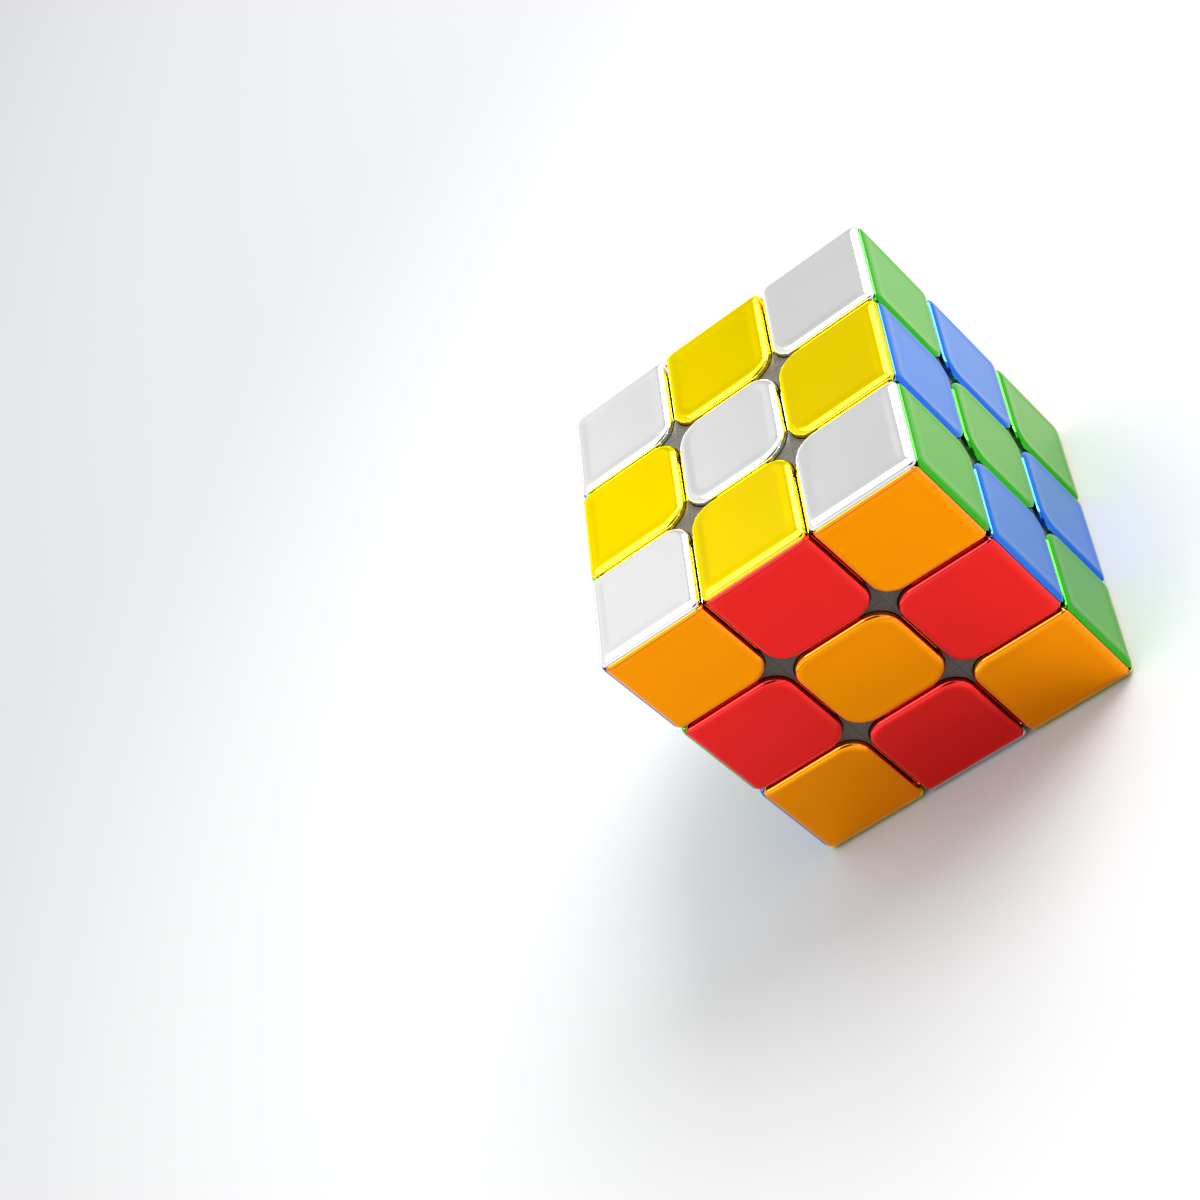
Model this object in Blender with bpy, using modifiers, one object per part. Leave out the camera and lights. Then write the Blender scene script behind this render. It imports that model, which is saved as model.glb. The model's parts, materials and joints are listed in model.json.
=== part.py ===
"""A turning puzzle cube, three layers each way, with plated coloured caps over dark moulded pieces.

Metres, +Z up, and the front face looks along -Y. The origin is the middle of the core, where the six
turning axes meet. Each centre is held on the core by a screw and a spring. The edges and corners are held
only by their feet, which reach under the centres and run in a ball-shaped track round the core.

Every piece is modelled once, at the top, top front or top front left, and turned into its other places.
"""

from math import cos, pi, radians, sin

import bmesh
import bpy
from mathutils import Matrix, Vector

MM = 0.001

# Driving dimensions of the cube
CUBE = 56.0 * MM            # width of the cube over its coloured faces
LAYER_GAP = 0.4 * MM        # clear gap between two layers
TRACK = 20.0 * MM           # radius of the ball-shaped track that the feet run in
TRACK_GAP = 0.65 * MM       # between the feet and the track, measured on the faceted spheres
FOOT_CUT = 6.5 * MM         # distance of the planes that part the feet from the core's middle
FOOT_BORE = 12.0 * MM       # radius of the hollow that the feet leave round the core
WALL = 1.6 * MM             # wall of the hollow mouldings
TOUCH = 0.3 * MM            # gap between two pieces that touch

# Plated caps
CAP = 2.2 * MM              # depth of a cap from the coloured face to the dark moulding
CENTRE_CAP = 3.6 * MM       # depth of a centre cap, which has a skirt
RIM = 0.8 * MM              # rounding round each coloured face
STAR_EDGE = 3.9 * MM        # corner radius of an edge or corner cap beside the star-shaped gap
STAR_CENTRE = 4.4 * MM      # corner radius of a centre cap
STAR_DEPTH = 1.2 * MM       # from a coloured face down to the dark floor of the star-shaped gap

# Core, screws and springs, measured along a turning axis from the middle of the core
ARM_RADIUS = 3.0 * MM
ARM_END = 10.5 * MM
HUB_RADIUS = 4.6 * MM
PILOT_RADIUS = 1.6 * MM
PILOT_START = 3.2 * MM
SCREW_TIP = 3.5 * MM
SHANK_RADIUS = 1.3 * MM
HEAD_RADIUS = 2.4 * MM
HEAD_START = 18.6 * MM
HEAD_END = 20.2 * MM
RECESS_WIDTH = 0.7 * MM
RECESS_DEPTH = 0.9 * MM
STEM_RADIUS = 4.4 * MM
STEM_START = 10.8 * MM
STEM_FLOOR = 12.3 * MM      # the spring pushes on this face
STEM_BORE = 2.7 * MM
STEM_HOLE = 1.65 * MM
SPRING_RADIUS = 2.0 * MM    # to the middle of the wire
SPRING_WIRE = 0.3 * MM      # radius of the wire
SPRING_TURNS = 3

# Fineness of the round surfaces
BALL_SEGMENTS = 24
TUBE_SEGMENTS = 16
SCREW_SEGMENTS = 12
SPRING_POINTS = 7           # in each turn
STAR_SEGMENTS = 4

HALF = CUBE / 2
CUT = CUBE / 6              # distance of the layer planes from the middle of the core
OUTER = CUT + LAYER_GAP / 2     # where a turning layer begins
MIDDLE = CUT - LAYER_GAP / 2    # where the middle layer ends
FOOT_OUTER = FOOT_CUT + LAYER_GAP / 2
FOOT_MIDDLE = FOOT_CUT - LAYER_GAP / 2
FOOT_BALL = TRACK - TRACK_GAP / 2
TRACK_BALL = TRACK + TRACK_GAP / 2
UNDER_CAP = HALF - CAP          # inner face of an edge or corner cap
STAR_FLOOR = HALF - STAR_DEPTH
FAR = CUBE                      # well outside the cube, for cutters

FACES = {
    "top": Vector((0, 0, 1)),
    "bottom": Vector((0, 0, -1)),
    "front": Vector((0, -1, 0)),
    "back": Vector((0, 1, 0)),
    "left": Vector((-1, 0, 0)),
    "right": Vector((1, 0, 0)),
}

OPPOSITE = {name: other for name in FACES for other in FACES if FACES[name] == -FACES[other]}

# The first face of an edge or corner is the one whose axis carries it, and the rest hang from that one.
EDGES = (
    [(a, b) for a in ("top", "bottom") for b in ("front", "back")]
    + [(a, b) for a in ("left", "right") for b in ("top", "bottom")]
    + [(a, b) for a in ("front", "back") for b in ("left", "right")]
)
CORNERS = [(a, b, c) for a in ("front", "back") for b in ("left", "right") for c in ("top", "bottom")]

# The colour of each face's centre and corners. The cube is turned to a checkerboard, so that each face's
# edges wear the colour of the opposite face.
PLATING = {
    "top": (0.84, 0.85, 0.84, 1),
    "bottom": (0.93, 0.72, 0.02, 1),
    "front": (0.12, 0.55, 0.06, 1),
    "back": (0.05, 0.16, 0.80, 1),
    "left": (0.95, 0.36, 0.01, 1),
    "right": (0.70, 0.02, 0.03, 1),
}

# Base colour, metallic and roughness
DARK_PLASTIC = ((0.16, 0.15, 0.135, 1), 0.0, 0.45)
STEEL = ((0.62, 0.62, 0.60, 1), 1.0, 0.28)


def clear_scene():
    for old in list(bpy.data.objects):
        bpy.data.objects.remove(old, do_unlink=True)


def new_collection(name):
    collection = bpy.data.collections.new(name)
    bpy.context.scene.collection.children.link(collection)
    return collection


def new_material(name, colour, metallic, roughness):
    material = bpy.data.materials.new(name)
    material.use_nodes = True
    shader = material.node_tree.nodes["Principled BSDF"]
    shader.inputs["Base Color"].default_value = colour
    shader.inputs["Metallic"].default_value = metallic
    shader.inputs["Roughness"].default_value = roughness
    return material


def hidden_object(name, data):
    """A cutter, or the pattern that a piece is made from."""
    made = bpy.data.objects.new(name, data)
    made.hide_render = True
    made.display_type = "WIRE"
    cutters.objects.link(made)
    return made


def pattern(name, shape):
    """A hidden object from a bmesh, which is freed here."""
    mesh = bpy.data.meshes.new(name)
    shape.to_mesh(mesh)
    shape.free()
    return hidden_object(name, mesh)


def box_shape(low, high):
    low, high = Vector(low), Vector(high)
    size = Matrix.Diagonal((*(high - low), 1))
    shape = bmesh.new()
    bmesh.ops.create_cube(shape, size=1, matrix=Matrix.Translation((low + high) / 2) @ size)
    return shape


def box(name, low, high):
    return pattern(name, box_shape(low, high))


def ball(name, radius, segments=BALL_SEGMENTS):
    shape = bmesh.new()
    bmesh.ops.create_uvsphere(shape, u_segments=segments, v_segments=segments // 2, radius=radius)
    return pattern(name, shape)


def rod(name, radius, start, end, direction=(0, 0, 1), segments=TUBE_SEGMENTS):
    """A cylinder along a line through the origin, between two distances from it."""
    turn = Vector((0, 0, 1)).rotation_difference(Vector(direction)).to_matrix().to_4x4()
    place = turn @ Matrix.Translation((0, 0, (start + end) / 2))
    shape = bmesh.new()
    size = {"radius1": radius, "radius2": radius, "depth": end - start}
    bmesh.ops.create_cone(shape, cap_ends=True, segments=segments, matrix=place, **size)
    return pattern(name, shape)


def boolean(target, other, operation):
    modifier = target.modifiers.new(operation.lower(), "BOOLEAN")
    modifier.solver = "EXACT"
    modifier.operation = operation
    modifier.object = other
    return target


def cut(target, *others):
    for other in others:
        boolean(target, other, "DIFFERENCE")
    return target


def keep_inside(target, *others):
    for other in others:
        boolean(target, other, "INTERSECT")
    return target


def join(target, *others):
    for other in others:
        boolean(target, other, "UNION")
    return target


def finished(made):
    """The mesh of an object with all its modifiers, shaded smooth over its round faces."""
    mesh = bpy.data.meshes.new_from_object(made.evaluated_get(bpy.context.evaluated_depsgraph_get()))
    mesh.name = made.name
    mesh.shade_smooth()
    mesh.set_sharp_from_angle(angle=radians(32))
    return mesh


def round_edges(shape, edges, width, segments):
    bmesh.ops.bevel(shape, geom=edges, offset=width, segments=segments, profile=0.5, affect="EDGES")


def close_to(a, b):
    return abs(a - b) < TOUCH / 10


def on_plane(edge, axis, distance):
    return all(close_to(vertex.co[axis], distance) for vertex in edge.verts)


def coloured_block(name, low, high, inner_edges, star_radius, faces):
    """A block whose inner edges are rounded for the star-shaped gap, and whose coloured faces have a rim.

    inner_edges are lists of (axis, distance) planes that an edge lies on, and faces are such planes too.
    """
    shape = box_shape(low, high)
    beside_star = [
        edge
        for edge in shape.edges
        if any(all(on_plane(edge, *plane) for plane in planes) for planes in inner_edges)
    ]
    round_edges(shape, beside_star, star_radius, STAR_SEGMENTS)
    rims = [edge for edge in shape.edges if any(on_plane(edge, *plane) for plane in faces)]
    round_edges(shape, rims, RIM, 1)
    return pattern(name, shape)


def star_post(name, corner, middle, low):
    """A post beside a cap's rounded corner, up to the floor of the star-shaped gap.

    corner is where the two seams cross, and middle is the middle of the cap's rounding.
    """
    xs, ys = zip(corner, middle)
    post = box(name, (min(xs), min(ys), low), (max(xs), max(ys), STAR_FLOOR))
    radius = max(xs) - min(xs)
    clear = rod(f"{name}_cap", radius + TOUCH, 0, FAR, segments=4 * STAR_SEGMENTS)
    clear.location = (*middle, 0)
    clear.parent = post
    return cut(post, clear)


def make_core():
    """A round hub with six arms, each with a hole for its screw."""
    hub = ball("spider", HUB_RADIUS, TUBE_SEGMENTS)
    for name in ("top", "front", "left"):
        join(hub, rod(f"core_arms_{name}", ARM_RADIUS, -ARM_END, ARM_END, FACES[name]))
    for name, direction in FACES.items():
        cut(hub, rod(f"core_hole_{name}", PILOT_RADIUS, PILOT_START, FAR, direction, SCREW_SEGMENTS))
    return hub


def make_screw():
    """A pan-head screw along +Z, turned from a profile, with a cross recess."""
    profile = [
        (0, HEAD_END),
        (HEAD_RADIUS * 0.75, HEAD_END),
        (HEAD_RADIUS, HEAD_END - HEAD_RADIUS / 4),
        (HEAD_RADIUS, HEAD_START),
        (SHANK_RADIUS, HEAD_START),
        (SHANK_RADIUS, SCREW_TIP + SHANK_RADIUS),
        (0, SCREW_TIP),
    ]
    shape = bmesh.new()
    points = [shape.verts.new((radius, 0, height)) for radius, height in profile]
    for start, end in zip(points, points[1:]):
        shape.edges.new((start, end))
    screw = pattern("screw", shape)
    turn = screw.modifiers.new("turn", "SCREW")
    turn.steps = SCREW_SEGMENTS
    turn.render_steps = SCREW_SEGMENTS
    turn.use_merge_vertices = True
    turn.merge_threshold = MM / 10000
    half = RECESS_WIDTH / 2
    reach = HEAD_RADIUS * 0.6
    floor = HEAD_END - RECESS_DEPTH
    slot = box("screw_slot", (-reach, -half, floor), (reach, half, FAR))
    cross_slot = box("screw_cross_slot", (-half, -reach, floor), (half, reach, FAR))
    return cut(screw, slot, cross_slot)


def make_spring():
    """A coil along +Z between the floor of the stem and the head of the screw."""
    low = STEM_FLOOR + TOUCH + SPRING_WIRE
    high = HEAD_START - TOUCH - SPRING_WIRE
    curve = bpy.data.curves.new("spring", "CURVE")
    curve.dimensions = "3D"
    curve.bevel_depth = SPRING_WIRE
    curve.bevel_resolution = 2
    curve.use_fill_caps = True
    count = round(SPRING_TURNS * SPRING_POINTS)
    wire = curve.splines.new("POLY")
    wire.points.add(count)
    for index, point in enumerate(wire.points):
        angle = 2 * pi * index / SPRING_POINTS
        height = low + (high - low) * index / count
        point.co = (SPRING_RADIUS * cos(angle), SPRING_RADIUS * sin(angle), height, 1)
    return hidden_object("spring", curve)


def make_centre_base():
    """The dark moulding of the top centre: a square cup, its underside part of the track, on a stem."""
    top = HALF - CENTRE_CAP
    cup = box("centre_base", (-MIDDLE, -MIDDLE, OUTER), (MIDDLE, MIDDLE, top))
    side = MIDDLE - WALL
    inside = box("centre_base_inside", (-side, -side, OUTER), (side, side, FAR))
    cut(inside, ball("centre_base_bowl", TRACK_BALL + WALL))
    cut(cup, ball("centre_base_track", TRACK_BALL), inside)
    join(cup, rod("centre_base_stem", STEM_RADIUS, STEM_START, TRACK_BALL + WALL / 2))
    in_from_corner = 1 - STAR_CENTRE / MIDDLE
    for corner in ((x, y) for x in (-MIDDLE, MIDDLE) for y in (-MIDDLE, MIDDLE)):
        middle = [distance * in_from_corner for distance in corner]
        join(cup, star_post("centre_base_post", corner, middle, top - WALL / 2))
    cut(cup, rod("centre_base_bore", STEM_BORE, STEM_FLOOR, FAR), rod("centre_base_hole", STEM_HOLE, 0, FAR))
    return cup


def make_centre_cap():
    """The plated top centre cap, which covers the screw."""
    corners = [[(0, x), (1, y)] for x in (-MIDDLE, MIDDLE) for y in (-MIDDLE, MIDDLE)]
    low = (-MIDDLE, -MIDDLE, HALF - CENTRE_CAP + TOUCH)
    cap = coloured_block("centre_cap", low, (MIDDLE, MIDDLE, HALF), corners, STAR_CENTRE, [(2, HALF)])
    hollow = MIDDLE - 2 * WALL
    return cut(cap, box("centre_cap_inside", (-hollow, -hollow, 0), (hollow, hollow, HALF - WALL)))


def make_edge_cap():
    """The two plated faces of the top front edge, as one bent plate."""
    inner_edges = [[(0, x), (1, -OUTER)] for x in (-MIDDLE, MIDDLE)]
    inner_edges += [[(0, x), (2, OUTER)] for x in (-MIDDLE, MIDDLE)]
    low = (-MIDDLE, -HALF, OUTER)
    high = (MIDDLE, -OUTER, HALF)
    plate = coloured_block("edge_shell", low, high, inner_edges, STAR_EDGE, [(2, HALF), (1, -HALF)])
    return cut(plate, box("edge_shell_inside", (-FAR, -UNDER_CAP, -FAR), (FAR, FAR, UNDER_CAP)))


def make_edge_foot():
    """The dark moulding of the top front edge: a cup under the plated faces, and the foot it stands on."""
    rim = UNDER_CAP - TOUCH
    cup = box("edge_foot", (-MIDDLE, -rim, OUTER), (MIDDLE, -OUTER, rim))
    side = MIDDLE - WALL
    inside = box("edge_foot_inside", (-side, -FAR, OUTER + WALL), (side, -OUTER - WALL, FAR))
    cut(inside, ball("edge_foot_bowl", TRACK_BALL + WALL))
    cut(cup, ball("edge_foot_track", TRACK_BALL), inside)
    neck = box("edge_foot_neck", (-MIDDLE, -rim, OUTER), (MIDDLE, -OUTER, rim))
    keep_inside(neck, ball("edge_foot_neck_end", TRACK_BALL + WALL / 2))
    join(neck, ball("edge_foot_ball", FOOT_BALL))
    low = (-FOOT_MIDDLE, -HALF, FOOT_OUTER)
    foot = keep_inside(box("edge_foot_lower", low, (FOOT_MIDDLE, -FOOT_OUTER, HALF)), neck)
    cut(foot, ball("edge_foot_bore", FOOT_BORE))
    swap = Matrix.Rotation(pi, 4, (0, -1, 1))   # the top front edge's other way up
    for side in (-1, 1):
        corner = (side * MIDDLE, -OUTER)
        middle = (side * (MIDDLE - STAR_EDGE), -OUTER - STAR_EDGE)
        for turn in (Matrix.Identity(4), swap):
            post = star_post("edge_foot_post", corner, middle, rim - WALL / 2)
            post.matrix_world = turn
            join(cup, post)
    return join(cup, foot)


def make_corner():
    """The top front left corner: three plated faces over a hollow body with a foot at its inner point."""
    low = (-HALF, -HALF, OUTER)
    high = (-OUTER, -OUTER, HALF)
    inner_planes = [(0, -OUTER), (1, -OUTER), (2, OUTER)]
    inner_edges = [[a, b] for a in inner_planes for b in inner_planes if a[0] < b[0]]
    coloured = [(0, -HALF), (1, -HALF), (2, HALF)]
    corner = coloured_block("corner", low, high, inner_edges, STAR_EDGE, coloured)
    cut(corner, box("corner_under_caps", (-UNDER_CAP, -UNDER_CAP, -FAR), (FAR, FAR, UNDER_CAP)))
    body = box("corner_body", (-STAR_FLOOR, -STAR_FLOOR, OUTER), (-OUTER, -OUTER, STAR_FLOOR))
    foot = box("corner_foot", (-HALF, -HALF, FOOT_OUTER), (-FOOT_OUTER, -FOOT_OUTER, HALF))
    keep_inside(foot, ball("corner_foot_ball", FOOT_BALL))
    cut(foot, ball("corner_foot_bore", FOOT_BORE))
    inner = OUTER + WALL
    outer = UNDER_CAP - TOUCH
    inside = box("corner_inside", (-outer, -outer, inner), (-inner, -inner, outer))
    cut(inside, ball("corner_bowl", TRACK_BALL + WALL))
    core_hole = rod("corner_core_hole", STEM_BORE, 0, TRACK_BALL + 3 * WALL, (-1, -1, 1), SCREW_SEGMENTS)
    join(inside, core_hole)
    return cut(join(corner, body, foot), inside)


def place(name, mesh, turn, parent, colour_name, colour):
    """One piece of the cube, from a shared mesh, with its own material."""
    piece = bpy.data.objects.new(name, mesh)
    parts.objects.link(piece)
    if not mesh.materials:
        mesh.materials.append(None)
    piece.material_slots[0].link = "OBJECT"
    piece.material_slots[0].material = new_material(f"{name}_{colour_name}", *colour)
    piece.parent = parent
    piece.matrix_world = turn.to_4x4()
    return piece


def pivot(name, parent=None):
    """An empty on a turning axis, that carries what turns."""
    empty = bpy.data.objects.new(name, None)
    empty.empty_display_size = CUT
    parts.objects.link(empty)
    empty.parent = parent
    return empty


def turn_to(top, front):
    """The rotation that takes a piece from the top front to two other faces."""
    up, ahead = FACES[top], FACES[front]
    return Matrix((up.cross(ahead), -ahead, up)).transposed()


def corner_turn(names):
    """The rotation that takes the top front left corner to three faces, whichever way round they are."""
    first, second, third = names
    if FACES[second].cross(FACES[first]) != FACES[third]:
        first, second = second, first
    return turn_to(first, second)


def plated(face):
    return (PLATING[face], 1.0, 0.12)


clear_scene()
parts = new_collection("speed_cube")
cutters = new_collection("cutters")

meshes = {
    made.name: finished(made)
    for made in (
        make_core(),
        make_screw(),
        make_spring(),
        make_centre_base(),
        make_centre_cap(),
        make_edge_foot(),
        make_edge_cap(),
        make_corner(),
    )
}
dark = ("dark_plastic", DARK_PLASTIC)
steel = ("steel", STEEL)
no_turn = Matrix.Identity(3)

place("core_spider", meshes["spider"], no_turn, pivot("core"), *dark)

# Each face's screw is fixed in the core, and its spring, centre and cap turn with the face
turning = {}
for face in FACES:
    turning[face] = pivot(f"{face}_turn", bpy.data.objects["core"])
    beside = next(name for name in FACES if abs(FACES[name].dot(FACES[face])) < 1)
    turn = turn_to(face, beside)
    place(f"screw_{face}", meshes["screw"], turn, bpy.data.objects["core"], *steel)
    place(f"spring_{face}", meshes["spring"], turn, turning[face], *steel)
    place(f"centre_base_{face}", meshes["centre_base"], turn, turning[face], *dark)
    place(f"centre_cap_{face}", meshes["centre_cap"], turn, turning[face], "plated", plated(face))

for names in EDGES:
    where = "_".join(names)
    turning[names] = pivot(f"{where}_turn", turning[names[0]])
    turn = turn_to(*names)
    place(f"edge_foot_{where}", meshes["edge_foot"], turn, turning[names], *dark)
    colour = plated(OPPOSITE[names[0]])
    place(f"edge_shell_{where}", meshes["edge_shell"], turn, turning[names], "plated", colour)

for names in CORNERS:
    where = "_".join(names)
    arm = pivot(f"{where}_turn", turning[names[:2]])
    place(f"corner_{where}", meshes["corner"], corner_turn(names), arm, "plated", plated(names[0]))
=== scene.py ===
import json
from math import cos, pi, radians, sin

import bmesh
import bpy
from mathutils import Matrix, Vector

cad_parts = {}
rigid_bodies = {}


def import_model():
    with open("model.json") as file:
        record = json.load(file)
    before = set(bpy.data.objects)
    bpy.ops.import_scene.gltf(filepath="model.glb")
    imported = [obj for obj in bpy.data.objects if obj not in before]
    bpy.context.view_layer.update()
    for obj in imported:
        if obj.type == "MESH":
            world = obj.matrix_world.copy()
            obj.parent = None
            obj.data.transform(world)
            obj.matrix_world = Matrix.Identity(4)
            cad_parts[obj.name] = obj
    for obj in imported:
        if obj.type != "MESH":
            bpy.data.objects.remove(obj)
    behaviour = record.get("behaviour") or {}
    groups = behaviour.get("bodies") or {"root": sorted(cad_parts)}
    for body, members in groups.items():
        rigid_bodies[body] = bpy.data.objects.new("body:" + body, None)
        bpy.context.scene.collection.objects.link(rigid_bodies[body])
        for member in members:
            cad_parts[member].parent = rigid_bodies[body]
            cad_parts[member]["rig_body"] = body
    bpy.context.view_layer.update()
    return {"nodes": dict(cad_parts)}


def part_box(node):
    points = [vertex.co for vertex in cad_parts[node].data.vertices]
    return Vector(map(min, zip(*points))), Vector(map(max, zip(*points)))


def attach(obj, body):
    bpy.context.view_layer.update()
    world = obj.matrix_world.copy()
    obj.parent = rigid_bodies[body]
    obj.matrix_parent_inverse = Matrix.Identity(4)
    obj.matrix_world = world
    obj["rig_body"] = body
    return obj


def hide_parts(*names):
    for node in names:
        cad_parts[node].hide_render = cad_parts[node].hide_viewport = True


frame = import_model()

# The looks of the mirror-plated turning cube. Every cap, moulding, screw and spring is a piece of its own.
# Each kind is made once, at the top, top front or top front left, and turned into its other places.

MM = 0.001

# Planes of the cube, read from the CAD
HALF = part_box("centre_cap_top")[1].z                # middle of the cube to a coloured face
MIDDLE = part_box("centre_cap_top")[1].x              # half the width of a middle layer
OUTER = -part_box("edge_shell_top_front")[1].y        # where a turning layer begins
FOOT_OUTER = -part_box("edge_foot_top_front")[1].y    # where the feet of a turning layer begin
STAR_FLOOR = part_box("edge_foot_top_front")[1].z     # dark floor of the star-shaped gaps
FAR = 4 * HALF                                      # well outside the cube, for cutters

# Plated caps: their depth, and the corner radii seen from outside
CAP = 2.2 * MM
CENTRE_CAP = 3.3 * MM
STAR_EDGE = 3.9 * MM        # beside a star-shaped gap
STAR_CENTRE = 4.4 * MM
SEAM_CORNER = 1.1 * MM      # where a seam meets an edge of the cube
TIP_CORNER = 1.3 * MM       # at a corner of the cube
CREASE_CORNER = 0.9 * MM    # smallest radius inside the rim

# Plated caps: their rounding, across the face and into the seam
WALL_INSET = 0.15 * MM      # wall behind the rounding
FLANGE = 0.25 * MM          # the wall flares out again near the back
COVE = 0.3 * MM
RIM_ACROSS = 1.0 * MM
RIM_DEEP = 0.75 * MM
LIP_ACROSS = 1.2 * MM
MITRE_GAP = 0.05 * MM
DISH = 0.05 * MM            # hollow of a coloured face, inside its rim
DISH_ACROSS = 1.5 * MM
CAP_SHARP = radians(40)

# Where two caps meet on an edge of the cube: inset and depth of the meeting line. The caps of the top and
# the bottom reach over the side ones, and the side ones meet halfway.
LIPS = {
    "over": (0.40 * MM, 0.92 * MM),
    "under": (0.92 * MM, 0.40 * MM),
    "even": (0.62 * MM, 0.62 * MM),
}

# Fineness of the caps
RIM_STEPS = 12
COVE_STEPS = 4
CORNER_STEPS = 14
SIDE_STEPS = 6
DISH_STEPS = 8
FACE_STEPS = 4

# Dark mouldings
WALL = 1.6 * MM
TOUCH = 0.3 * MM            # gap between two pieces that touch
CORNER_TOUCH = 0.02 * MM    # the same between a corner's moulding and its caps
EDGE_ROUND = 0.25 * MM      # rounding of the mouldings' edges
POST_REACH = 0.18 * MM      # how far the star posts reach into the gap between two layers
TRACK_BALL = 20.325 * MM
FOOT_BALL = 19.675 * MM
FOOT_MIDDLE = 6.3 * MM
FOOT_BORE = 12.0 * MM
BALL_STEPS = 64
TUBE_STEPS = 40
MOULDING_SHARP = radians(30)

# Core and stems, along a turning axis from the middle of the core
ARM_RADIUS = 3.0 * MM
HUB_RADIUS = 4.6 * MM
PILOT_RADIUS = 1.6 * MM
PILOT_START = 3.2 * MM
STEM_RADIUS = 4.4 * MM
STEM_START = 10.8 * MM
STEM_FLOOR = 12.3 * MM
STEM_BORE = 2.7 * MM
STEM_HOLE = 1.65 * MM

# Screws
SCREW_TIP = 3.5 * MM
TIP_BLUNT = 0.3 * MM        # radius of the blunt point
SHANK_RADIUS = 1.3 * MM
THREAD_DEPTH = 0.2 * MM
THREAD_PITCH = 0.8 * MM
THREAD_END = 11.0 * MM
THREAD_STEPS = 8            # rings in one turn of the thread
HEAD_RADIUS = 2.4 * MM
HEAD_START = 18.6 * MM
HEAD_END = 20.2 * MM
HEAD_DOME = [(1.0, 1 / 3), (0.92, 1 / 7), (0.75, 1 / 20), (0.5, 0.0)]   # shares of its radius: out, and down
RECESS_HALF = 0.35 * MM
RECESS_REACH = 1.45 * MM
RECESS_DEPTH = 0.9 * MM

# Springs
SPRING_RADIUS = 2.0 * MM    # to the middle of the wire
SPRING_WIRE = 0.28 * MM     # radius of the wire
SPRING_TURNS = 6
CLOSED_TURNS = 1.0          # turns lying against each other at each end
CLOSED_PITCH = 2.1 * SPRING_WIRE
COIL_STEPS = 32             # rings in one turn of the coil
WIRE_STEPS = 12

FACES = {
    "top": Vector((0, 0, 1)),
    "bottom": Vector((0, 0, -1)),
    "front": Vector((0, -1, 0)),
    "back": Vector((0, 1, 0)),
    "left": Vector((-1, 0, 0)),
    "right": Vector((1, 0, 0)),
}
OPPOSITE = {name: other for name in FACES for other in FACES if FACES[name] == -FACES[other]}
FACE_COLOUR = {
    "top": "silver",
    "bottom": "yellow",
    "front": "green",
    "back": "blue",
    "left": "orange",
    "right": "red",
}

# Reflection of the plating, head-on and, where it isn't white, at a grazing angle
PLATING = {
    "silver": (0.80, 0.81, 0.80),
    "yellow": (1.0, 0.75, 0.02),
    "green": (0.015, 0.40, 0.0),
    "blue": (0.005, 0.14, 0.68),
    "orange": (1.0, 0.315, 0.0),
    "red": (0.88, 0.022, 0.02),
}
GRAZING = {
    "yellow": (1.0, 1.0, 0.0),
    "green": (1.0, 1.0, 0.85),
    "blue": (0.9, 1.0, 1.0),
}
DULLEST = 0.94              # how dark the plating's patches get
WORN = 0.03                 # how far the rims have worn towards white
PLATING_ROUGHNESS = (0.03, 0.08)
PLASTIC_TONES = ((0.055, 0.051, 0.044), (0.090, 0.084, 0.072))
STEEL_TONES = ((0.50, 0.50, 0.48), (0.66, 0.66, 0.64))
STEEL_ROUGHNESS = (0.2, 0.38)

# Floor: its tone inside a painted pool of light near the cube, and its plain tone further off
FLOOR_IN_PAINTED_LIGHT = (0.410, 0.413, 0.417)
FAR_FLOOR = (0.315, 0.318, 0.323)
FLOOR_SIZE = 3.0
PAINTED_LIGHT_MIDDLE = (-0.05, -0.05, 0.0)
PAINTED_LIGHT_FADE = (0.14, 0.36)   # distance from its middle where the painted pool of light on the floor starts and stops to fade out

# The studio's brightness against the height of a direction, which is 1 straight up
STUDIO = [
    (-1.0, 0.9),
    (-0.1, 1.1),
    (0.0, 1.5),
    (0.25, 1.0),
    (0.45, 0.72),
    (0.55, 0.84),
    (0.66, 0.84),
    (0.75, 0.65),
    (1.0, 0.8),
]
BRIGHTEST = 2.0
BRIGHT_SIDE = 1.3           # how much brighter the studio is towards +Y
BRIGHT_FADE = (0.28, 0.4)   # sideways part of a direction where that starts and stops to change
SHADE = 0.04                # the dark shape behind the camera, as seen by the cube
SHADE_WIDTH = 0.5
SHADE_HEIGHT = 0.25
SHADE_RISE = 0.17           # how far its middle is above the camera
SHADE_EDGE = (0.85, 1.15)

# The camera, in the cube's frame
CAMERA_PLACE = Vector((-0.28117, -0.12229, 0.23180))
CAMERA_LOOK = Vector((0.72628, 0.40440, -0.55587))
CAMERA_UP = Vector((0.68367, -0.50914, 0.52285))
SENSOR = 36.0
LENS = 75.87


def node_names(kind):
    return sorted(name for name in frame["nodes"] if name.startswith(kind))


def faces_of(node, kind):
    """The faces in a node's name, such as top and front for edge_shell_top_front."""
    return node.removeprefix(kind).split("_")


def body_of(node):
    return frame["nodes"][node]["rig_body"]


# ---------------------------------------------------------------- plated caps

def smooth(share):
    return share * share * (3 - 2 * share)


def seam_rings(back):
    """Inset and depth of each ring beside a seam, from the back of the cap to the crest of its rim."""
    rings = [(0.0, back)]
    for step in range(COVE_STEPS + 1):
        turn = pi / 2 * step / COVE_STEPS
        rings.append((WALL_INSET * (1 - cos(turn)), CAP - FLANGE - COVE * sin(turn)))
    for step in range(RIM_STEPS + 1):
        turn = pi / 2 * step / RIM_STEPS
        rings.append((WALL_INSET + RIM_ACROSS * (1 - cos(turn)), RIM_DEEP * (1 - sin(turn))))
    return rings


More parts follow.
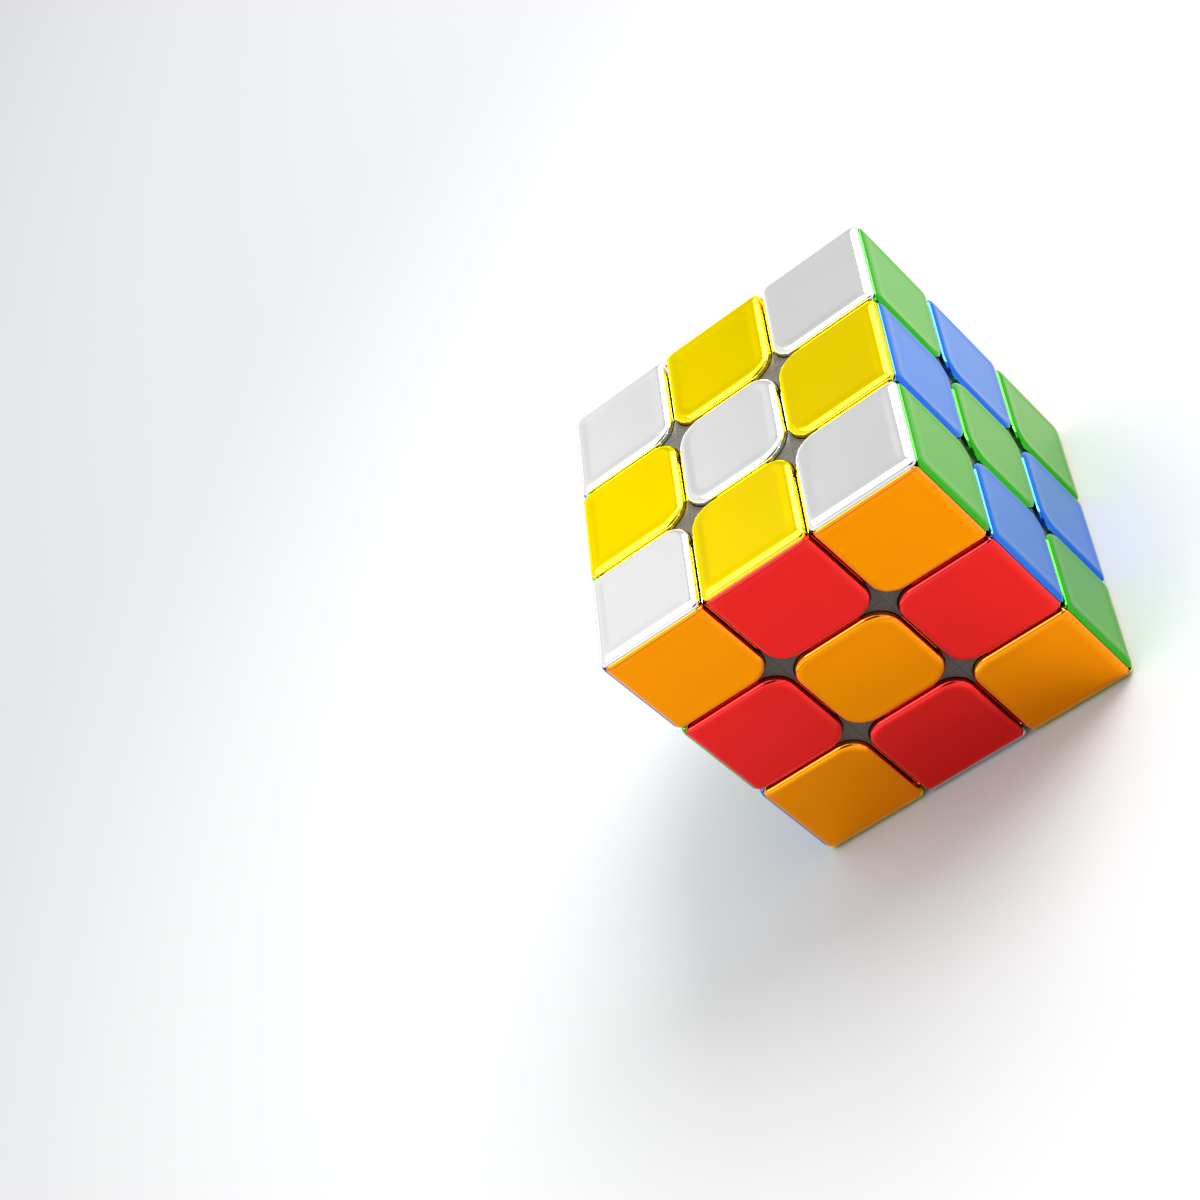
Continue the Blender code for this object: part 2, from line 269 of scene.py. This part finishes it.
def lip_rings(inset, depth):
    """The same rings as a seam side has, for a side that meets another cap at an inset and a depth."""
    rings = [(CAP + MITRE_GAP, CAP)]
    for step in range(COVE_STEPS + 1):
        share = (step + 1) / (COVE_STEPS + 2)
        rings.append((CAP + (inset - CAP) * share + MITRE_GAP, CAP + (depth - CAP) * share))
    for step in range(RIM_STEPS + 1):
        turn = pi / 2 * step / RIM_STEPS
        rings.append((inset + MITRE_GAP + LIP_ACROSS * (1 - cos(turn)), depth * (1 - sin(turn))))
    return rings


def rim_profile(back):
    """Rings of a cap from its back to its flat face: inset and depth for each kind of side."""
    kinds = {kind: lip_rings(*meeting) for kind, meeting in LIPS.items()}
    kinds["seam"] = seam_rings(back)
    for rings in kinds.values():
        crest = rings[-1][0]
        for step in range(1, DISH_STEPS + 1):
            share = step / DISH_STEPS
            rings.append((crest + share * DISH_ACROSS, DISH * smooth(share)))
    count = len(kinds["seam"])
    return [{kind: rings[index] for kind, rings in kinds.items()} for index in range(count)]


def wear(index):
    """How worn the plating is at a ring: full on the wall, and none from the crest inwards."""
    rings_before = COVE_STEPS + 2
    share = (index - rings_before) / RIM_STEPS
    return 1 - smooth(min(max(share, 0.0), 1.0))


def corner_arc(corner, reach, inset, depth, radius):
    """The points of a ring round one corner, from one side's depth to the next one's."""
    after = (corner + 1) % 4
    across, along = (corner, after) if corner % 2 == 0 else (after, corner)
    round_x = max(radius - inset[across], CREASE_CORNER)
    round_y = max(radius - inset[along], CREASE_CORNER)
    middle_x = reach[across] - (round_x if across == 0 else -round_x)
    middle_y = reach[along] - (round_y if along == 1 else -round_y)
    points = []
    for step in range(CORNER_STEPS + 1):
        share = step / CORNER_STEPS
        turn = pi / 2 * (corner + share)
        sunk = depth[corner] + (depth[after] - depth[corner]) * smooth(share)
        points.append(Vector((middle_x + round_x * cos(turn), middle_y + round_y * sin(turn), HALF - sunk)))
    return points


def ring_points(low, high, sides, radii, ring):
    """One closed ring of a cap. The sides are +X, +Y, -X, -Y, and corner n is between sides n and n + 1."""
    inset = [ring[side][0] for side in sides]
    depth = [ring[side][1] for side in sides]
    reach = [high[0] - inset[0], high[1] - inset[1], low[0] + inset[2], low[1] + inset[3]]
    arcs = [corner_arc(corner, reach, inset, depth, radii[corner]) for corner in range(4)]
    points = []
    for arc, after in zip(arcs, arcs[1:] + arcs[:1]):
        points += arc
        points += [arc[-1].lerp(after[0], step / SIDE_STEPS) for step in range(1, SIDE_STEPS)]
    return points


def cap_rings(low, high, sides, radii, back):
    """Every ring of a cap from its back to near the middle of its face, each with its wear."""
    profile = rim_profile(back)
    rings = [(ring_points(low, high, sides, radii, ring), wear(index)) for index, ring in enumerate(profile)]
    centre = Vector(((low[0] + high[0]) / 2, (low[1] + high[1]) / 2, HALF - DISH))
    outline = rings[-1][0]
    for step in range(1, FACE_STEPS):
        share = 1 - step / FACE_STEPS
        rings.append(([centre + (point - centre) * share for point in outline], 0.0))
    return rings, centre


def skin(shape, rings):
    """Quads between each closed ring of vertices and the next."""
    for first, second in zip(rings, rings[1:]):
        for index in range(len(first)):
            after = (index + 1) % len(first)
            shape.faces.new((first[index], first[after], second[after], second[index]))


def cap_mesh(name, low, high, sides, radii, back):
    """A plated cap on the top face, closed at its back, with its wear in the attribute 'rim'."""
    shape = bmesh.new()
    rim = shape.verts.layers.float.new("rim")
    rings, centre = cap_rings(low, high, sides, radii, back)
    made = []
    for ring, worn in rings:
        made.append([shape.verts.new(point) for point in ring])
        for vertex in made[-1]:
            vertex[rim] = worn
    skin(shape, made)
    pole = shape.verts.new(centre)
    last = made[-1]
    for index, vertex in enumerate(last):
        shape.faces.new((vertex, last[(index + 1) % len(last)], pole))
    flat = shape.faces.new(list(reversed(made[0])))
    for face in shape.faces:
        face.smooth = face != flat
    mesh = bpy.data.meshes.new(name)
    shape.to_mesh(mesh)
    shape.free()
    mesh.set_sharp_from_angle(angle=CAP_SHARP)
    return mesh


def make_centre_cap():
    return cap_mesh(
        "centre_cap", (-MIDDLE, -MIDDLE), (MIDDLE, MIDDLE), ["seam"] * 4, [STAR_CENTRE] * 4, CENTRE_CAP
    )


def make_edge_cap(kind):
    """The top front edge's cap on top. Its edge of the cube is at -Y."""
    sides = ["seam", "seam", "seam", kind]
    radii = [STAR_EDGE, STAR_EDGE, SEAM_CORNER, SEAM_CORNER]
    return cap_mesh("edge_cap", (-MIDDLE, -HALF), (MIDDLE, -OUTER), sides, radii, CAP)


def make_corner_cap(at_left, at_front):
    """The top front left corner's cap on top. Its edges of the cube are at -X and -Y."""
    sides = ["seam", "seam", at_left, at_front]
    radii = [STAR_EDGE, SEAM_CORNER, TIP_CORNER, SEAM_CORNER]
    return cap_mesh("corner_cap", (-HALF, -HALF), (-OUTER, -OUTER), sides, radii, CAP)


def lip_kind(face, other):
    """How a cap on one face meets the cap on another face of the same piece."""
    if face in ("top", "bottom"):
        return "over"
    return "under" if other in ("top", "bottom") else "even"


# ---------------------------------------------------------------- solids that the mouldings are made from

workshop = []


def solid(name, shape):
    """An object from a bmesh, listed so that it can be removed at the end."""
    mesh = bpy.data.meshes.new(name)
    shape.to_mesh(mesh)
    shape.free()
    made = bpy.data.objects.new(name, mesh)
    bpy.context.scene.collection.objects.link(made)
    workshop.append(made)
    return made


def box(low, high, rounding=0.0):
    low, high = Vector(low), Vector(high)
    place = Matrix.Translation((low + high) / 2) @ Matrix.Diagonal((*(high - low), 1))
    shape = bmesh.new()
    bmesh.ops.create_cube(shape, size=1, matrix=place)
    if rounding:
        bmesh.ops.bevel(shape, geom=shape.edges[:], offset=rounding, segments=3, profile=0.5, affect="EDGES")
    return solid("box", shape)


def ball(radius):
    shape = bmesh.new()
    bmesh.ops.create_uvsphere(shape, u_segments=BALL_STEPS, v_segments=BALL_STEPS // 2, radius=radius)
    return solid("ball", shape)


def rod(radius, start, end, direction=(0, 0, 1)):
    turn = Vector((0, 0, 1)).rotation_difference(Vector(direction)).to_matrix().to_4x4()
    place = turn @ Matrix.Translation((0, 0, (start + end) / 2))
    size = {"radius1": radius, "radius2": radius, "depth": end - start}
    shape = bmesh.new()
    bmesh.ops.create_cone(shape, cap_ends=True, segments=TUBE_STEPS, matrix=place, **size)
    return solid("rod", shape)


def tube(name, rings):
    """A closed skin over rings of points, with a flat end at each side."""
    shape = bmesh.new()
    made = [[shape.verts.new(point) for point in ring] for ring in rings]
    skin(shape, made)
    shape.faces.new(list(reversed(made[0])))
    shape.faces.new(made[-1])
    return solid(name, shape)


def combine(operation, target, *others):
    for other in others:
        modifier = target.modifiers.new(operation, "BOOLEAN")
        modifier.solver = "EXACT"
        modifier.operation = operation
        modifier.object = other
    return target


def cut(target, *others):
    return combine("DIFFERENCE", target, *others)


def join(target, *others):
    return combine("UNION", target, *others)


def keep_inside(target, *others):
    return combine("INTERSECT", target, *others)


def finished(name, made):
    """The mesh of an object with its modifiers, shaded smooth over its round faces."""
    mesh = bpy.data.meshes.new_from_object(made.evaluated_get(bpy.context.evaluated_depsgraph_get()))
    mesh.name = name
    mesh.shade_smooth()
    mesh.set_sharp_from_angle(angle=MOULDING_SHARP)
    return mesh


# ---------------------------------------------------------------- dark mouldings

def star_post(corner, middle, low):
    """A post beside a cap's rounded corner, up to the floor of the star-shaped gap."""
    tip = [place + (POST_REACH if place > centre else -POST_REACH) for place, centre in zip(corner, middle)]
    xs, ys = zip(tip, middle)
    post = box((min(xs), min(ys), low), (max(xs), max(ys), STAR_FLOOR))
    clear = rod(abs(corner[0] - middle[0]), 0, FAR)
    clear.location = (*middle, 0)
    clear.parent = post
    return cut(post, clear)


def make_core():
    hub = ball(HUB_RADIUS)
    for face in ("top", "front", "left"):
        join(hub, rod(ARM_RADIUS, -STEM_START + TOUCH, STEM_START - TOUCH, FACES[face]))
    for direction in FACES.values():
        cut(hub, rod(PILOT_RADIUS, PILOT_START, FAR, direction))
    return finished("core", hub)


def make_centre_base():
    top = HALF - CENTRE_CAP - TOUCH
    cup = box((-MIDDLE, -MIDDLE, OUTER), (MIDDLE, MIDDLE, top), EDGE_ROUND)
    side = MIDDLE - WALL
    inside = box((-side, -side, OUTER), (side, side, FAR))
    cut(inside, ball(TRACK_BALL + WALL))
    cut(cup, ball(TRACK_BALL), inside)
    join(cup, rod(STEM_RADIUS, STEM_START, TRACK_BALL + WALL / 2))
    share = 1 - STAR_CENTRE / MIDDLE
    for corner in ((x, y) for x in (-MIDDLE, MIDDLE) for y in (-MIDDLE, MIDDLE)):
        join(cup, star_post(corner, [distance * share for distance in corner], top - WALL))
    cut(cup, rod(STEM_BORE, STEM_FLOOR, FAR), rod(STEM_HOLE, 0, FAR))
    return finished("centre_base", cup)


def edge_block(low, high):
    """The block of the top front edge between two heights, as far from the front as from the top."""
    return box((-MIDDLE, -high, low), (MIDDLE, -low, high), EDGE_ROUND)


def make_edge_foot():
    rim = HALF - CAP - TOUCH
    cup = edge_block(OUTER, rim)
    side = MIDDLE - WALL
    inside = box((-side, -FAR, OUTER + WALL), (side, -OUTER - WALL, FAR))
    cut(inside, ball(TRACK_BALL + WALL))
    cut(cup, ball(TRACK_BALL), inside)
    neck = edge_block(OUTER, rim)
    keep_inside(neck, ball(TRACK_BALL + WALL / 2))
    join(neck, ball(FOOT_BALL))
    foot = box((-FOOT_MIDDLE, -HALF, FOOT_OUTER), (FOOT_MIDDLE, -FOOT_OUTER, HALF), EDGE_ROUND)
    keep_inside(foot, neck)
    cut(foot, ball(FOOT_BORE))
    swap = Matrix.Rotation(pi, 4, (0, -1, 1))
    for way in (-1, 1):
        corner = (way * MIDDLE, -OUTER)
        middle = (way * (MIDDLE - STAR_EDGE), -OUTER - STAR_EDGE)
        for turn in (Matrix.Identity(4), swap):
            post = star_post(corner, middle, rim - WALL)
            post.matrix_world = turn
            join(cup, post)
    return finished("edge_foot", join(cup, foot))


def make_corner_body():
    top = HALF - CAP - CORNER_TOUCH
    body = box((-top, -top, OUTER), (-OUTER, -OUTER, top), EDGE_ROUND)
    for third in (0, 1, -1):
        post = star_post((-OUTER, -OUTER), (-OUTER - STAR_EDGE, -OUTER - STAR_EDGE), top - WALL)
        post.matrix_world = Matrix.Rotation(third * 2 * pi / 3, 4, (-1, -1, 1))
        join(body, post)
    foot = box((-HALF, -HALF, FOOT_OUTER), (-FOOT_OUTER, -FOOT_OUTER, HALF), EDGE_ROUND)
    keep_inside(foot, ball(FOOT_BALL))
    cut(foot, ball(FOOT_BORE))
    inner, outer = OUTER + WALL, HALF - CAP - WALL
    inside = box((-outer, -outer, inner), (-inner, -inner, outer))
    cut(inside, ball(TRACK_BALL + WALL))
    join(inside, rod(STEM_BORE, 0, TRACK_BALL + 3 * WALL, (-1, -1, 1)))
    return finished("corner_body", cut(join(body, foot), inside))


# ---------------------------------------------------------------- steel pieces

def thread_rings():
    """Rings of the screw's thread, which starts at its blunt tip."""
    steps = round((THREAD_END - SCREW_TIP) / THREAD_PITCH * THREAD_STEPS)
    rings = []
    for step in range(steps + 1):
        height = SCREW_TIP + (THREAD_END - SCREW_TIP) * step / steps
        taper = min(1.0, (height - SCREW_TIP + TIP_BLUNT) / SHANK_RADIUS)
        ring = []
        for index in range(TUBE_STEPS):
            turn = index / TUBE_STEPS
            phase = (height / THREAD_PITCH - turn) % 1
            ridge = 1 - abs(2 * phase - 1)
            radius = (SHANK_RADIUS - THREAD_DEPTH * (1 - ridge)) * taper
            ring.append((radius * cos(2 * pi * turn), radius * sin(2 * pi * turn), height))
        rings.append(ring)
    return rings


def make_screw():
    """A threaded pan-head screw along +Z."""
    shank = SHANK_RADIUS - THREAD_DEPTH
    profile = [(shank, THREAD_END + THREAD_PITCH), (shank, HEAD_START), (HEAD_RADIUS, HEAD_START)]
    profile += [(HEAD_RADIUS * share, HEAD_END - HEAD_RADIUS * drop) for share, drop in HEAD_DOME]
    angles = [2 * pi * index / TUBE_STEPS for index in range(TUBE_STEPS)]
    rings = thread_rings()
    for radius, height in profile:
        rings.append([(radius * cos(angle), radius * sin(angle), height) for angle in angles])
    screw = tube("screw", rings)
    floor = HEAD_END - RECESS_DEPTH
    for x, y in ((RECESS_REACH, RECESS_HALF), (RECESS_HALF, RECESS_REACH)):
        cut(screw, box((-x, -y, floor), (x, y, FAR)))
    return finished("screw", screw)


def coil_height(turns, low, high):
    """Height of the wire's middle after some turns, with closed turns at both ends."""
    from_end = min(turns, SPRING_TURNS - turns)
    closed = CLOSED_PITCH * CLOSED_TURNS
    if from_end >= CLOSED_TURNS:
        share = (turns - CLOSED_TURNS) / (SPRING_TURNS - 2 * CLOSED_TURNS)
        return low + closed + (high - low - 2 * closed) * share
    rise = CLOSED_PITCH * from_end
    return low + rise if turns < SPRING_TURNS / 2 else high - rise


def make_spring():
    """A coil along +Z with closed ends, between the floor of the stem and the screw's head."""
    low = STEM_FLOOR + TOUCH + SPRING_WIRE
    high = HEAD_START - TOUCH - SPRING_WIRE
    steps = SPRING_TURNS * COIL_STEPS
    angles = [2 * pi * index / WIRE_STEPS for index in range(WIRE_STEPS)]
    up = Vector((0, 0, 1))
    rings = []
    for step in range(steps + 1):
        turns = SPRING_TURNS * step / steps
        out = Vector((cos(2 * pi * turns), sin(2 * pi * turns), 0))
        centre = out * SPRING_RADIUS + up * coil_height(turns, low, high)
        rings.append([centre + SPRING_WIRE * (out * cos(angle) - up * sin(angle)) for angle in angles])
    return finished("spring", tube("spring", rings))


# ---------------------------------------------------------------- placing

def turn_to(top, front):
    """The rotation that takes a piece from the top front to two other faces."""
    up, ahead = FACES[top], FACES[front]
    return Matrix((up.cross(ahead), -ahead, up)).transposed().to_4x4()


def corner_turn(names):
    """The rotation that takes the top front left corner to three faces, whichever way round they are."""
    first, second, third = names
    if FACES[second].cross(FACES[first]) != FACES[third]:
        first, second = second, first
    return turn_to(first, second)


def in_turn(face, others):
    """A corner's other two faces, in the order of the front and the left beside the top."""
    first, second = others
    if FACES[first].cross(FACES[face]) != FACES[second]:
        first, second = second, first
    return first, second


def beside(face):
    return next(name for name in FACES if abs(FACES[name].dot(FACES[face])) < 1)


def add_piece(name, mesh, turn, node, material):
    piece = bpy.data.objects.new(name, mesh.copy())
    bpy.context.scene.collection.objects.link(piece)
    piece.data.transform(turn)
    piece.data.materials.clear()
    piece.data.materials.append(material)
    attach(piece, body_of(node))
    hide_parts(node)
    return piece


# ---------------------------------------------------------------- materials

def new_material(name):
    """A new material, with its node tree and its shader."""
    material = bpy.data.materials.new(name)
    material.use_nodes = True
    tree = material.node_tree
    return material, tree, tree.nodes["Principled BSDF"]


def noise(tree, scale, detail):
    """Noise over the piece, from 0 to 1."""
    place = tree.nodes.new("ShaderNodeTexCoord")
    texture = tree.nodes.new("ShaderNodeTexNoise")
    texture.inputs["Scale"].default_value = scale
    texture.inputs["Detail"].default_value = detail
    tree.links.new(place.outputs["Object"], texture.inputs["Vector"])
    return texture.outputs["Fac"]


def spread(tree, value, limits):
    """A value from 0 to 1, spread between two limits."""
    scaled = tree.nodes.new("ShaderNodeMapRange")
    scaled.inputs["To Min"].default_value = limits[0]
    scaled.inputs["To Max"].default_value = limits[1]
    tree.links.new(value, scaled.inputs["Value"])
    return scaled.outputs["Result"]


def fade(tree, value, start, end, low=0.0, high=1.0):
    """A smooth change from low to high while a value goes from start to end."""
    change = tree.nodes.new("ShaderNodeMapRange")
    change.interpolation_type = "SMOOTHSTEP"
    change.inputs["From Min"].default_value = start
    change.inputs["From Max"].default_value = end
    change.inputs["To Min"].default_value = low
    change.inputs["To Max"].default_value = high
    tree.links.new(value, change.inputs["Value"])
    return change.outputs["Result"]


def blend(tree, share, first, second):
    """A mix of two colours, where the first one may come from another node."""
    mix = tree.nodes.new("ShaderNodeMix")
    mix.data_type = "RGBA"
    if isinstance(first, tuple):
        mix.inputs["A"].default_value = (*first, 1)
    else:
        tree.links.new(first, mix.inputs["A"])
    mix.inputs["B"].default_value = (*second, 1)
    tree.links.new(share, mix.inputs["Factor"])
    return mix.outputs["Result"]


def ramp(tree, value, tones):
    """A colour between two tones. Noise keeps near the middle of them."""
    colours = tree.nodes.new("ShaderNodeValToRGB")
    for stop, tone in zip(colours.color_ramp.elements, tones):
        stop.color = (*tone, 1)
    tree.links.new(value, colours.inputs["Fac"])
    return colours.outputs["Color"]


def add_bump(tree, shader, height, strength, distance):
    bump = tree.nodes.new("ShaderNodeBump")
    bump.inputs["Strength"].default_value = strength
    bump.inputs["Distance"].default_value = distance
    tree.links.new(height, bump.inputs["Height"])
    tree.links.new(bump.outputs["Normal"], shader.inputs["Normal"])


def plated_material(colour):
    """Tinted mirror plating on moulded plastic, with a faint orange peel, and a paler rim."""
    material, tree, shader = new_material(f"plated_{colour}")
    base = PLATING[colour]
    shader.inputs["Metallic"].default_value = 1.0
    shader.inputs["Specular Tint"].default_value = (*GRAZING.get(colour, (1, 1, 1)), 1)
    patches = noise(tree, scale=90.0, detail=3.0)
    dull = tuple(channel * DULLEST for channel in base)
    worn = tuple(channel + (1 - channel) * WORN for channel in base)
    rim = tree.nodes.new("ShaderNodeAttribute")
    rim.attribute_name = "rim"
    tint = blend(tree, rim.outputs["Fac"], blend(tree, patches, dull, base), worn)
    tree.links.new(tint, shader.inputs["Base Color"])
    tree.links.new(spread(tree, patches, PLATING_ROUGHNESS), shader.inputs["Roughness"])
    add_bump(tree, shader, noise(tree, scale=500.0, detail=2.0), strength=0.05, distance=0.0001)
    return material


def moulded_plastic():
    """Dark grey moulded plastic with a fine satin texture."""
    material, tree, shader = new_material("dark_plastic")
    shader.inputs["Roughness"].default_value = 0.42
    shader.inputs["Specular IOR Level"].default_value = 0.25
    grain = noise(tree, scale=1500.0, detail=4.0)
    tree.links.new(ramp(tree, grain, PLASTIC_TONES), shader.inputs["Base Color"])
    add_bump(tree, shader, grain, strength=0.15, distance=0.00005)
    return material


def steel_material():
    """Bright zinc-plated steel with a fine uneven grain."""
    material, tree, shader = new_material("steel")
    shader.inputs["Metallic"].default_value = 1.0
    grain = noise(tree, scale=3000.0, detail=3.0)
    tree.links.new(ramp(tree, grain, STEEL_TONES), shader.inputs["Base Color"])
    tree.links.new(spread(tree, grain, STEEL_ROUGHNESS), shader.inputs["Roughness"])
    return material


# ---------------------------------------------------------------- stage

def brightness_bands(tree, height):
    """The studio's brightness, as a share of the brightest, from the height of a direction."""
    level = tree.nodes.new("ShaderNodeMapRange")
    level.inputs["From Min"].default_value = -1.0
    tree.links.new(height, level.inputs["Value"])
    bands = tree.nodes.new("ShaderNodeValToRGB")
    stops = bands.color_ramp.elements
    for index, (height_of_stop, value) in enumerate(STUDIO):
        place = (height_of_stop + 1) / 2
        stop = stops.new(place) if index else stops[0]
        stop.position = place
        stop.color = (value / BRIGHTEST, value / BRIGHTEST, value / BRIGHTEST, 1)
    tree.links.new(level.outputs["Result"], bands.inputs["Fac"])
    return bands.outputs["Color"]


def camera_shade(tree, direction):
    """The studio's brightest value, but almost none in an oval round the camera."""
    towards = (CAMERA_PLACE.normalized() + Vector((0, 0, SHADE_RISE))).normalized()
    across = Vector((0, 0, 1)).cross(towards).normalized()
    upwards = towards.cross(across)
    offset = tree.nodes.new("ShaderNodeCombineXYZ")
    for axis, size, socket in ((across, SHADE_WIDTH, "X"), (upwards, SHADE_HEIGHT, "Y")):
        measure = tree.nodes.new("ShaderNodeVectorMath")
        measure.operation = "DOT_PRODUCT"
        measure.inputs[1].default_value = axis / size
        tree.links.new(direction, measure.inputs[0])
        tree.links.new(measure.outputs["Value"], offset.inputs[socket])
    length = tree.nodes.new("ShaderNodeVectorMath")
    length.operation = "LENGTH"
    tree.links.new(offset.outputs["Vector"], length.inputs[0])
    return fade(tree, length.outputs["Value"], *SHADE_EDGE, BRIGHTEST * SHADE, BRIGHTEST)


def add_studio():
    """A soft white room, with a bright ceiling and the dark shape of the camera."""
    world = bpy.data.worlds.new("studio")
    world.use_nodes = True
    tree = world.node_tree
    background = tree.nodes["Background"]
    direction = tree.nodes.new("ShaderNodeTexCoord").outputs["Generated"]
    parts = tree.nodes.new("ShaderNodeSeparateXYZ")
    tree.links.new(direction, parts.inputs["Vector"])
    tree.links.new(brightness_bands(tree, parts.outputs["Z"]), background.inputs["Color"])
    strength = tree.nodes.new("ShaderNodeMath")
    strength.operation = "MULTIPLY"
    tree.links.new(fade(tree, parts.outputs["Y"], *BRIGHT_FADE, 1.0, BRIGHT_SIDE), strength.inputs[0])
    tree.links.new(camera_shade(tree, direction), strength.inputs[1])
    tree.links.new(strength.outputs["Value"], background.inputs["Strength"])
    bpy.context.scene.world = world


def soft_light(name, direction, along, away, size, brightness):
    """A soft panel that faces the cube, with its first size along a direction."""
    light = bpy.data.lights.new(name, "AREA")
    light.shape = "RECTANGLE"
    light.size, light.size_y = size
    light.energy = brightness * pi * size[0] * size[1]
    lamp = bpy.data.objects.new(name, light)
    bpy.context.scene.collection.objects.link(lamp)
    back = Vector(direction).normalized()
    across = back.cross(Vector(along)).normalized()
    turn = Matrix((across.cross(back), across, back)).transposed()
    lamp.matrix_world = Matrix.Translation(back * away) @ turn.to_4x4()


def floor_with_painted_light():
    """A pale matt floor with a painted pool of light: brighter near the cube, a little darker away from it.
    """
    material, tree, shader = new_material("floor")
    shader.inputs["Roughness"].default_value = 0.6
    shader.inputs["Specular IOR Level"].default_value = 0.0
    place = tree.nodes.new("ShaderNodeTexCoord")
    distance = tree.nodes.new("ShaderNodeVectorMath")
    distance.operation = "DISTANCE"
    distance.inputs[1].default_value = PAINTED_LIGHT_MIDDLE
    tree.links.new(place.outputs["Object"], distance.inputs[0])
    # painted pool of light: the floor's colour is brighter near the cube and fades to its plain tone further
    # off
    share = fade(tree, distance.outputs["Value"], *PAINTED_LIGHT_FADE)
    tree.links.new(blend(tree, share, FLOOR_IN_PAINTED_LIGHT, FAR_FLOOR), shader.inputs["Base Color"])
    return material


def add_floor():
    shape = bmesh.new()
    bmesh.ops.create_grid(shape, x_segments=1, y_segments=1, size=FLOOR_SIZE)
    mesh = bpy.data.meshes.new("floor")
    shape.to_mesh(mesh)
    shape.free()
    floor = bpy.data.objects.new("floor", mesh)
    bpy.context.scene.collection.objects.link(floor)
    floor.location.z = -HALF
    mesh.materials.append(floor_with_painted_light())


def add_camera():
    camera = bpy.data.objects.new("camera", bpy.data.cameras.new("camera"))
    bpy.context.scene.collection.objects.link(camera)
    look = CAMERA_LOOK.normalized()
    right = look.cross(CAMERA_UP).normalized()
    up = right.cross(look)
    camera.matrix_world = Matrix.Translation(CAMERA_PLACE) @ Matrix((right, up, -look)).transposed().to_4x4()
    camera.data.lens = LENS
    camera.data.sensor_width = SENSOR
    camera.data.clip_start = 0.01
    bpy.context.scene.camera = camera


# ---------------------------------------------------------------- making the pieces

plated = {colour: plated_material(colour) for colour in PLATING}
dark = moulded_plastic()
steel = steel_material()

centre_cap = make_centre_cap()
edge_caps = {kind: make_edge_cap(kind) for kind in LIPS}
corner_caps = {
    kinds: make_corner_cap(*kinds) for kinds in (("over", "over"), ("under", "even"), ("even", "under"))
}
core = make_core()
centre_base = make_centre_base()
edge_foot = make_edge_foot()
corner_body = make_corner_body()
screw = make_screw()
spring = make_spring()
for used in workshop:
    bpy.data.objects.remove(used, do_unlink=True)

add_piece("core_moulding", core, Matrix.Identity(4), "core_spider", dark)

for face in FACES:
    turn = turn_to(face, beside(face))
    colour = FACE_COLOUR[face]
    add_piece(f"centre_plate_{face}", centre_cap, turn, f"centre_cap_{face}", plated[colour])
    add_piece(f"centre_moulding_{face}", centre_base, turn, f"centre_base_{face}", dark)
    add_piece(f"threaded_screw_{face}", screw, turn, f"screw_{face}", steel)
    add_piece(f"wound_spring_{face}", spring, turn, f"spring_{face}", steel)

for node in node_names("edge_shell_"):
    faces = faces_of(node, "edge_shell_")
    where = "_".join(faces)
    add_piece(f"edge_moulding_{where}", edge_foot, turn_to(*faces),
              f"edge_foot_{where}", dark)
    for face, other in (faces, faces[::-1]):
        colour = FACE_COLOUR[OPPOSITE[face]]
        name = f"edge_plate_{face}_of_{where}"
        cap = edge_caps[lip_kind(face, other)]
        add_piece(name, cap, turn_to(face, other), node, plated[colour])

for node in node_names("corner_"):
    faces = faces_of(node, "corner_")
    where = "_".join(faces)
    add_piece(f"corner_moulding_{where}", corner_body, corner_turn(faces), node, dark)
    for face in faces:
        first, second = in_turn(face, [other for other in faces if other != face])
        colour = FACE_COLOUR[face]
        name = f"corner_plate_{face}_of_{where}"
        cap = corner_caps[lip_kind(face, second), lip_kind(face, first)]
        add_piece(name, cap, turn_to(face, first), node, plated[colour])

add_floor()
add_studio()
soft_light("key", (0.75, -0.28, 0.56), (0, -0.65, -0.35), away=1.1, size=(0.86, 0.27), brightness=10.0)
soft_light("overhead", (0.0, 0.32, 0.947), (1, 0, 0), away=0.8, size=(1.0, 0.4), brightness=3.0)
soft_light("main", (0.42, -0.57, 0.71), (1, 0, 0), away=0.9, size=(0.5, 0.5), brightness=15.0)
add_camera()
bpy.context.scene.view_settings.view_transform = "Standard"
